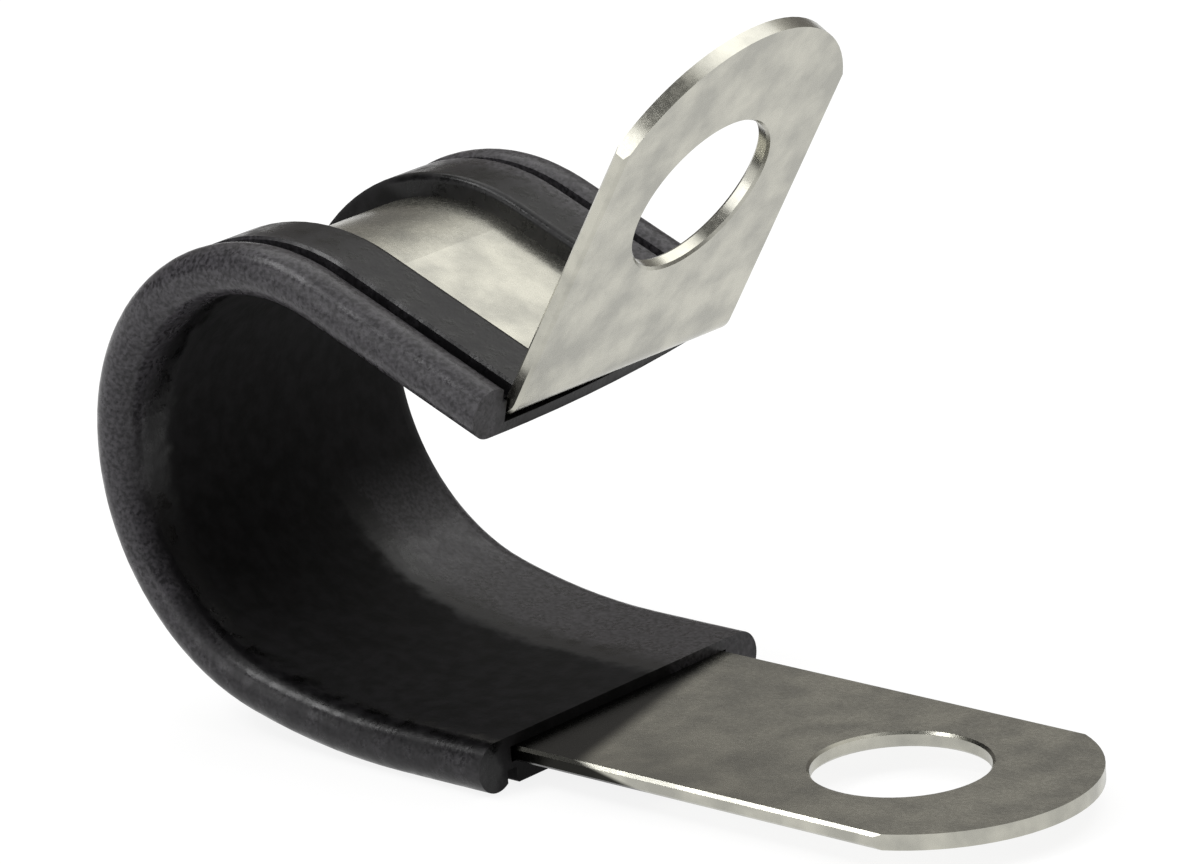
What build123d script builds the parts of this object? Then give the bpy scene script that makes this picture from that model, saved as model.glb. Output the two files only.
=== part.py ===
from build123d import *
import os

# Rubber-lined loop clamp (P-clip): a punched and bent stainless steel band in a black rubber cushion.
# Millimetres. The origin is the centre of the lower fixing hole, on the underside of the lower tab.
# X runs along the lower tab towards its rounded end, Y across the band, Z up.
# The clamp is as delivered: sprung open, with its upper tab standing away from the lower one.

# Strip of the band
band_width = 12.0
band_thickness = 0.6
band_edge_chamfer = 0.12

# Tabs and fixing holes
fixing_hole_diameter = 6.6
hole_to_tab_end = 7.55
tab_end_radius = 6.5
hole_rim_chamfer = 0.1
punch_scrap_length = 1.0

# Side line of the band, measured on the middle of its thickness
hole_to_belly = 17.6
belly_radius = 26.7
belly_angle = 15.2
back_radius = 8.5
back_angle = 83.5
crown_radius = 7.6
crown_angle = 103.0
arm_length = 7.95
fold_radius = 0.7
fold_angle = 81.0
fold_to_hole = 8.0

# Cushion section, measured across the band and from the faces of the steel
cushion_base = 0.42
band_side_clearance = 0.1
lip_thickness = 0.87
lip_reach = 2.7
lip_width = 2.45
lip_tip_radius = 0.3
crest_chamfer = 0.1
groove_width = 0.5
groove_floor = 0.25
bead_radius = 0.97
bead_outreach = 1.87

# Ends of the cushion: square at the lower tab, bowed and leaning a little at the fold
hole_to_cushion = 13.3
cushion_past_fold = 0.75
upper_end_radius = 85.0
upper_end_lean_angle = 8.0

half_width = band_width / 2
middle = band_thickness / 2


# Side line of the band
with BuildLine(Plane.XZ) as band_line:
    lower_run = Line((hole_to_tab_end + punch_scrap_length, middle), (-hole_to_belly, middle))
    belly = JernArc(lower_run @ 1, lower_run % 1, belly_radius, -belly_angle)
    back = JernArc(belly @ 1, belly % 1, back_radius, -back_angle)
    crown = JernArc(back @ 1, back % 1, crown_radius, -crown_angle)
    arm = PolarLine(crown @ 1, arm_length, direction=crown % 1)
    fold = JernArc(arm @ 1, arm % 1, fold_radius, fold_angle)
    upper_run = PolarLine(fold @ 1, fold_to_hole + hole_to_tab_end + punch_scrap_length, direction=fold % 1)


# Planes of the two tabs, each with its hole's centre as origin and X towards its rounded end
across = Vector(0, 1, 0)
upper_hole_centre = fold @ 1 + (fold % 1) * fold_to_hole
lower_tab = Plane(origin=(0, 0, middle), x_dir=(1, 0, 0), z_dir=(0, 0, 1))
upper_tab = Plane(origin=upper_hole_centre, x_dir=fold % 1, z_dir=(fold % 1).cross(across))


# Band: the strip bent to its side line, then both tabs rounded, punched and deburred
with BuildPart() as band:
    with BuildSketch(Plane(origin=band_line.line @ 0, x_dir=across, z_dir=band_line.line % 0)) as strip:
        Rectangle(band_width, band_thickness)
        chamfer(strip.vertices(), band_edge_chamfer)
    sweep(sections=strip.sketch, path=band_line.line)

    for tab in (lower_tab, upper_tab):
        with BuildSketch(tab):
            with Locations((hole_to_tab_end, 0)):
                Rectangle(2 * tab_end_radius, band_width + 2 * punch_scrap_length)
            with Locations((hole_to_tab_end - tab_end_radius, 0)):
                Circle(tab_end_radius, mode=Mode.SUBTRACT)
        extrude(amount=band_thickness, both=True, mode=Mode.SUBTRACT)

        with BuildSketch(tab):
            Circle(fixing_hole_diameter / 2)
        extrude(amount=band_thickness, both=True, mode=Mode.SUBTRACT)
        chamfer(band.edges(Select.LAST).filter_by(GeomType.CIRCLE), hole_rim_chamfer)

band.part.label = "band"


# Line that the cushion follows: the band's own, from the lower tab's root to a little past the fold
overrun = 2 * (band_thickness + cushion_base)
with BuildLine(Plane.XZ) as cushion_line:
    Line((-hole_to_cushion, middle), (-hole_to_belly, middle))
    add([belly, back, crown])
    PolarLine(crown @ 1, arm_length + overrun, direction=crown % 1)


# Cushion section: X across the band, Y from the middle of the steel outwards, away from the cable
channel_half = half_width + band_side_clearance
lip_tip = channel_half - lip_reach
crest = lip_tip + lip_width
groove_far_side = crest + groove_width
base_face = -middle - cushion_base
lip_face = middle + lip_thickness
bead_out = half_width + bead_outreach - bead_radius
bead_up = base_face + bead_radius
standing = (Align.CENTER, Align.MIN)

with BuildSketch(Plane(origin=cushion_line.line @ 0, x_dir=across, z_dir=cushion_line.line % 0)) as profile:
    # Base and lips in one block, with a bead along each side
    with Locations((0, base_face)):
        Rectangle(2 * bead_out, bead_radius, align=standing)
    with Locations((0, bead_up)):
        Rectangle(2 * groove_far_side, lip_face - bead_up, align=standing)
    with Locations((-bead_out, bead_up), (bead_out, bead_up)):
        Circle(bead_radius)

    # Channel for the strip, the open space between the lips, and the groove beside each bead
    Rectangle(2 * channel_half, band_thickness, mode=Mode.SUBTRACT)
    with Locations((0, middle)):
        Rectangle(2 * lip_tip, 2 * lip_thickness, align=standing, mode=Mode.SUBTRACT)
    groove_middle = crest + groove_width / 2
    groove_bottom = middle + groove_floor
    with Locations((-groove_middle, groove_bottom), (groove_middle, groove_bottom)):
        Rectangle(groove_width, 2 * lip_thickness, align=standing, mode=Mode.SUBTRACT)

    # Soft edges: the lips' tips facing each other, and their crests beside the grooves
    top_corners = profile.vertices().group_by(Axis.Y)[-1].sort_by(Axis.X)
    fillet(top_corners[1:3], lip_tip_radius)
    crest_corners = profile.vertices().group_by(Axis.Y)[-1].sort_by(Axis.X)
    chamfer((crest_corners[0], crest_corners[-1]), crest_chamfer)


# Cushion: the section drawn along its line, trimmed just past the fold, its lips ending on the steel
outward = (arm % 1).cross(across)
upper_end = arm @ 1 + outward * base_face
leaning = outward.rotate(Axis(upper_end, across), -upper_end_lean_angle)
end_centre = cushion_past_fold - upper_end_radius
with BuildPart() as cushion:
    sweep(sections=profile.sketch, path=cushion_line.line)

    with BuildSketch(Plane(origin=upper_end, x_dir=across, z_dir=-leaning)):
        Rectangle(3 * bead_out, 3 * overrun)
        with Locations((-half_width, end_centre)):
            Circle(upper_end_radius, mode=Mode.SUBTRACT)
    extrude(amount=2 * overrun, both=True, mode=Mode.SUBTRACT)

    with BuildSketch(Plane(origin=fold @ 0, x_dir=across, z_dir=fold % 0)) as channel:
        Rectangle(2 * channel_half, band_thickness)
    sweep(sections=channel.sketch, path=Wire([fold, upper_run]), mode=Mode.SUBTRACT)

cushion.part.label = "cushion"


os.makedirs("parts", exist_ok=True)
export_step(band.part, "parts/band.step")
export_step(cushion.part, "parts/cushion.step")
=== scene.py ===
import bpy
from mathutils import Matrix, Vector


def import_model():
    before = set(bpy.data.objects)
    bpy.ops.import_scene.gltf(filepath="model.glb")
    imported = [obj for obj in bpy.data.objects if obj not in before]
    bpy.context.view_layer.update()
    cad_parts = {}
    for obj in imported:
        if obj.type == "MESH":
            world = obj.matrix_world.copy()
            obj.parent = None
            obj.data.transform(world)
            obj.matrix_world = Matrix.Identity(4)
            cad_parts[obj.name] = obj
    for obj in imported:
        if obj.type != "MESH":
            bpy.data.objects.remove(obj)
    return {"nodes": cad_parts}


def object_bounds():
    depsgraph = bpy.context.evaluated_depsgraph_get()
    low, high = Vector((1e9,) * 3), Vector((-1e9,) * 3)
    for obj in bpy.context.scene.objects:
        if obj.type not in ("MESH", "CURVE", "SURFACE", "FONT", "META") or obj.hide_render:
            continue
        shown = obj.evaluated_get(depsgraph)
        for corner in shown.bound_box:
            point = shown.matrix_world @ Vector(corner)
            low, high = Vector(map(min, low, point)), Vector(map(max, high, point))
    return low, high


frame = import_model()
cad_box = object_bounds()

# Everything is in metres, in the frame of the solids. MM turns millimetres into metres.
MM = 0.001

# Camera: where it stands, which way it looks, how long its lens is and how far it sees
CAMERA_PLACE = Vector((172.15, -206.86, 100.98)) * MM
CAMERA_RIGHT = Vector((0.75597, 0.65179, -0.06067))
CAMERA_DOWN = Vector((0.15805, -0.27167, -0.94932))
CAMERA_LENS = 240.06
SENSOR_WIDTH = 36.0
SIGHT_START = 0.01
SIGHT_END = 10.0

# Sky: the tone by height times the tone by depth, so that it is brightest high up at the back.
# Heights and depths are those of the direction, from -1 to 1.
SKY = (0.92, 0.91, 0.87, 1)
HORIZON = (0.2, 0.19, 0.18, 1)
SKY_HEIGHTS = (0.36, 0.72)
FRONT = (0.12, 0.12, 0.12, 1)
BACK = (1, 1, 1, 1)
SKY_DEPTHS = (-0.2, 0.5)

# Lamps, all turned to one point of the clamp: a large one overhead, a low one at the front left and
# a small, higher one at the left
TOP_BOX = {"place": (-0.08, 0.12, 0.45), "size": (0.52, 0.52), "power": 1.4}
FRONT_BOX = {"place": (-0.17, -0.42, 0.17), "size": (0.3, 0.3), "power": 0.8}
LEFT_BOX = {"place": (-0.18, -0.17, 0.33), "size": (0.2, 0.1), "power": 0.6}
LIT_POINT = (-0.012, 0, 0.01)

# Floor: a grey that takes the shadow. Where it is seen, mirrored or seen through, a share of it is
# an even white that takes none.
FLOOR_REACH = 3.0
FLOOR_GREY = (0.92, 0.92, 0.92, 1)
FLOOR_WHITE = 1.08
FLOOR_WHITE_SHARE = 0.8

# Steel: a cloudy, faintly warm mill finish with a fine grain, a little finer across the strip
STEEL_LIGHT = (0.52, 0.51, 0.445, 1)
STEEL_DARK = (0.37, 0.365, 0.325, 1)
STEEL_ROUGHNESS = (0.23, 0.28)
CLOUD_SCALE = 600.0
CLOUD_DETAIL = 5.0
STEEL_GRAIN_SCALE = 1.0
STEEL_GRAIN_DETAIL = 3.0
STEEL_GRAIN_STRETCH = (5200.0, 6500.0, 5200.0)
STEEL_GRAIN_DEPTH = 0.00015 * MM

# Painted shade: a soft dark patch painted on the strip low down, from under the rubber to the root of
# the lower tab, where shade falls beside the rubber. It reaches further along the tab at the near side.
PAINTED_SHADE_TONE = (0.05, 0.05, 0.05, 1)
PAINTED_SHADE_SLOPE = (1.0, 0.26, 5.0)
PAINTED_SHADE_SPAN = (-9.1 * MM, -8.1 * MM)

# Rubber: near black, with a soft, uneven skin and a fine grain
RUBBER_DARK = (0.002, 0.002, 0.002, 1)
RUBBER_LIGHT = (0.008, 0.0075, 0.0085, 1)
RUBBER_GLOSS = 0.22
RUBBER_ROUGHNESS = (0.22, 0.4)
MATT_ROUGHNESS = 0.8
SKIN_SCALE = 1500.0
SKIN_DETAIL = 4.0
SKIN_DEPTH = 0.012 * MM
RUBBER_GRAIN_SCALE = 6000.0
RUBBER_GRAIN_DETAIL = 2.0
RUBBER_GRAIN_DEPTH = 0.006 * MM

# Painted sheen and gloss at both sides of the rubber, by how far out a place lies. The painted sheen is a
# lighter tone that stands in for light shining off the sides; the gloss is a lower roughness. The slope
# and the uneven shift bring them further in at the far side, and further out low down at the near side.
PAINTED_SHEEN_DARK = (0.02, 0.019, 0.021, 1)
PAINTED_SHEEN_LIGHT = (0.06, 0.057, 0.063, 1)
OUTWARD_SLOPE = (0, 1, -0.12)
OUTWARD_SHIFT = (2.25 * MM, 2.65 * MM)
PAINTED_SHEEN_SPAN = (4.9 * MM, 6.1 * MM)
GLOSS_SPAN = (3.7 * MM, 4.8 * MM)

# Places that have them: low down, the near half, and the outer faces on top, which have the gloss
# all over. The far half of the loop's back, which lies in shade, has neither.
LOW_SLOPE = (0, 0, -1)
LOW_SPAN = (-6.0 * MM, -3.0 * MM)
NEAR_SLOPE = (0, -1, 0)
NEAR_SPAN = (0, 2.0 * MM)
TOP_SLOPE = (0.35, 0, 1)
TOP_SPAN = (7.9 * MM, 8.7 * MM)

# What the nodes need: the middle part of a noise, where a ramp turns from dark to light, the sockets
# of a mix as its first input, its second input and its output, and the two inputs of a shader mix
NOISE_SPAN = (0.35, 0.65)
RAMP_STOPS = (0.36, 0.64)
MIX_SOCKETS = {"RGBA": (6, 7, 2), "FLOAT": (2, 3, 0)}
SHADER_MIX_INPUTS = (1, 2)
FULL = 1.0
WHITE = (1, 1, 1, 1)


def link(item):
    bpy.context.scene.collection.objects.link(item)
    return item


def camera():
    data = bpy.data.cameras.new("camera")
    data.lens = CAMERA_LENS
    data.sensor_width = SENSOR_WIDTH
    data.clip_start = SIGHT_START
    data.clip_end = SIGHT_END
    item = link(bpy.data.objects.new("camera", data))
    back = CAMERA_RIGHT.cross(-CAMERA_DOWN)
    turn = Matrix((CAMERA_RIGHT, -CAMERA_DOWN, back)).transposed()
    item.matrix_world = Matrix.Translation(CAMERA_PLACE) @ turn.to_4x4()
    bpy.context.scene.camera = item


def light_box(name, place, size, power):
    data = bpy.data.lights.new(name, "AREA")
    data.shape = "RECTANGLE"
    data.size = size[0]
    data.size_y = size[1]
    data.energy = power
    item = link(bpy.data.objects.new(name, data))
    item.location = place
    item.rotation_euler = (Vector(LIT_POINT) - Vector(place)).to_track_quat("-Z", "Y").to_euler()


class Nodes:
    """The nodes of a material or a world. All that make a node hand back its output, apart from add."""

    def __init__(self, owner):
        owner.use_nodes = True
        self.tree = owner.node_tree
        self.tree.nodes.clear()

    def put(self, node, key, value):
        """Link the value to the input if it is an output, or else set the input to it."""
        if isinstance(value, bpy.types.NodeSocket):
            self.tree.links.new(value, node.inputs[key])
        else:
            node.inputs[key].default_value = value

    def add(self, kind, **inputs):
        node = self.tree.nodes.new(kind)
        for key, value in inputs.items():
            self.put(node, key, value)
        return node

    def noise(self, place, scale, detail, stretch=(1, 1, 1)):
        mapping = self.add("ShaderNodeMapping", Vector=place, Scale=stretch)
        made = self.add("ShaderNodeTexNoise", Vector=mapping.outputs["Vector"], Scale=scale, Detail=detail)
        return made.outputs["Fac"]

    def math(self, kind, *sources):
        made = self.add("ShaderNodeMath")
        made.operation = kind
        for key, source in enumerate(sources):
            self.put(made, key, source)
        return made.outputs["Value"]

    def along(self, place, slope):
        made = self.add("ShaderNodeVectorMath")
        made.operation = "DOT_PRODUCT"
        for key, source in enumerate((place, slope)):
            self.put(made, key, source)
        return made.outputs["Value"]

    def remap(self, source, span, ends=(0, 1), kind="LINEAR"):
        made = self.add("ShaderNodeMapRange", Value=source)
        made.interpolation_type = kind
        for key, value in zip(("From Min", "From Max", "To Min", "To Max"), (*span, *ends)):
            self.put(made, key, value)
        return made.outputs["Result"]

    def fade(self, place, slope, span):
        return self.remap(self.along(place, slope), span, kind="SMOOTHSTEP")

    def ramp(self, noise, dark, light):
        made = self.add("ShaderNodeValToRGB", Fac=noise)
        for stop, position, colour in zip(made.color_ramp.elements, RAMP_STOPS, (dark, light)):
            stop.position = position
            stop.color = colour
        return made.outputs["Color"]

    def mix(self, data, factor, first, second, blend="MIX"):
        made = self.add("ShaderNodeMix")
        made.data_type = data
        made.blend_type = blend
        *inputs, output = MIX_SOCKETS[data]
        for key, value in zip(("Factor", *inputs), (factor, first, second)):
            self.put(made, key, value)
        return made.outputs[output]

    def bump(self, noise, depth, **under):
        made = self.add("ShaderNodeBump", Height=noise, Distance=depth, Strength=FULL, **under)
        return made.outputs["Normal"]


def steel():
    material = bpy.data.materials.new("stainless_steel")
    nodes = Nodes(material)
    place = nodes.add("ShaderNodeTexCoord").outputs["Object"]
    clouds = nodes.noise(place, CLOUD_SCALE, CLOUD_DETAIL)
    grain = nodes.noise(place, STEEL_GRAIN_SCALE, STEEL_GRAIN_DETAIL, STEEL_GRAIN_STRETCH)
    tone = nodes.ramp(clouds, STEEL_DARK, STEEL_LIGHT)
    # The steel's tone is multiplied by the painted shade beside the rubber
    shade = nodes.mix("RGBA", nodes.fade(place, PAINTED_SHADE_SLOPE, PAINTED_SHADE_SPAN), PAINTED_SHADE_TONE, WHITE)
    shader = nodes.add(
        "ShaderNodeBsdfPrincipled",
        Metallic=FULL,
        Roughness=nodes.remap(grain, NOISE_SPAN, STEEL_ROUGHNESS),
        Normal=nodes.bump(grain, STEEL_GRAIN_DEPTH),
    )
    nodes.put(shader, "Base Color", nodes.mix("RGBA", FULL, tone, shade, "MULTIPLY"))
    nodes.add("ShaderNodeOutputMaterial", Surface=shader.outputs["BSDF"])
    return material


def painted_sheen_and_gloss(nodes, place, skin):
    shift = nodes.remap(skin, NOISE_SPAN, OUTWARD_SHIFT)
    outward = nodes.math("ABSOLUTE", nodes.math("ADD", nodes.along(place, OUTWARD_SLOPE), shift))
    low = nodes.fade(place, LOW_SLOPE, LOW_SPAN)
    near = nodes.fade(place, NEAR_SLOPE, NEAR_SPAN)
    top = nodes.fade(place, TOP_SLOPE, TOP_SPAN)
    marked = nodes.math("MAXIMUM", nodes.math("MAXIMUM", low, near), top)
    # Painted sheen: a lighter tone where light shines off the rubber's sides
    painted_sheen = nodes.math("MINIMUM", nodes.remap(outward, PAINTED_SHEEN_SPAN, kind="SMOOTHSTEP"), marked)
    gloss_mask = nodes.math("MINIMUM", nodes.remap(outward, GLOSS_SPAN, kind="SMOOTHSTEP"), marked)
    return painted_sheen, nodes.math("MAXIMUM", gloss_mask, top)


def rubber():
    material = bpy.data.materials.new("black_rubber")
    nodes = Nodes(material)
    place = nodes.add("ShaderNodeTexCoord").outputs["Object"]
    skin = nodes.noise(place, SKIN_SCALE, SKIN_DETAIL)
    grain = nodes.noise(place, RUBBER_GRAIN_SCALE, RUBBER_GRAIN_DETAIL)
    painted_sheen, gloss_mask = painted_sheen_and_gloss(nodes, place, skin)
    fresh_tone = nodes.ramp(skin, RUBBER_DARK, RUBBER_LIGHT)
    painted_sheen_tone = nodes.ramp(grain, PAINTED_SHEEN_DARK, PAINTED_SHEEN_LIGHT)
    soft_gloss = nodes.remap(skin, NOISE_SPAN, RUBBER_ROUGHNESS)
    relief = nodes.bump(grain, RUBBER_GRAIN_DEPTH, Normal=nodes.bump(skin, SKIN_DEPTH))
    shader = nodes.add(
        "ShaderNodeBsdfPrincipled",
        Roughness=nodes.mix("FLOAT", gloss_mask, MATT_ROUGHNESS, soft_gloss),
        Normal=relief,
    )
    # The base colour turns to the painted sheen's lighter tone where its mask is set
    nodes.put(shader, "Base Color", nodes.mix("RGBA", painted_sheen, fresh_tone, painted_sheen_tone))
    nodes.put(shader, "Specular IOR Level", RUBBER_GLOSS)
    nodes.add("ShaderNodeOutputMaterial", Surface=shader.outputs["BSDF"])
    return material


def floor_finish():
    material = bpy.data.materials.new("floor")
    nodes = Nodes(material)
    plain = nodes.add("ShaderNodeBsdfDiffuse", Color=FLOOR_GREY).outputs["BSDF"]
    white = nodes.add("ShaderNodeEmission", Strength=FLOOR_WHITE).outputs["Emission"]
    rays = nodes.add("ShaderNodeLightPath").outputs
    seen = nodes.math("MAXIMUM", rays["Is Camera Ray"], rays["Is Glossy Ray"])
    shown = nodes.math("MAXIMUM", seen, rays["Is Transmission Ray"])
    mix = nodes.add("ShaderNodeMixShader", Fac=nodes.remap(shown, (0, 1), (0, FLOOR_WHITE_SHARE)))
    for key, shader in zip(SHADER_MIX_INPUTS, (plain, white)):
        nodes.put(mix, key, shader)
    nodes.add("ShaderNodeOutputMaterial", Surface=mix.outputs["Shader"])
    return material


def floor():
    low = cad_box[0][2]
    ends = (-FLOOR_REACH, FLOOR_REACH)
    mesh = bpy.data.meshes.new("floor")
    mesh.from_pydata([(x, y, low) for x in ends for y in ends], [], [(0, 2, 3, 1)])
    mesh.materials.append(floor_finish())
    item = link(bpy.data.objects.new("floor", mesh))


def world():
    studio = bpy.data.worlds.new("studio")
    bpy.context.scene.world = studio
    nodes = Nodes(studio)
    place = nodes.add("ShaderNodeTexCoord").outputs["Generated"]
    direction = nodes.add("ShaderNodeSeparateXYZ", Vector=place).outputs
    by_height = nodes.mix("RGBA", nodes.remap(direction["Z"], SKY_HEIGHTS), HORIZON, SKY)
    by_depth = nodes.mix("RGBA", nodes.remap(direction["Y"], SKY_DEPTHS), FRONT, BACK)
    sky = nodes.mix("RGBA", FULL, by_height, by_depth, "MULTIPLY")
    background = nodes.add("ShaderNodeBackground", Color=sky, Strength=FULL)
    nodes.add("ShaderNodeOutputWorld", Surface=background.outputs["Background"])


def dress(node, finish):
    node.data.materials.clear()
    node.data.materials.append(finish)


camera()
world()
light_box("top_box", **TOP_BOX)
light_box("front_box", **FRONT_BOX)
light_box("left_box", **LEFT_BOX)
floor()
dress(frame["nodes"]["band"], steel())
dress(frame["nodes"]["cushion"], rubber())

bpy.context.scene.view_settings.view_transform = "Standard"
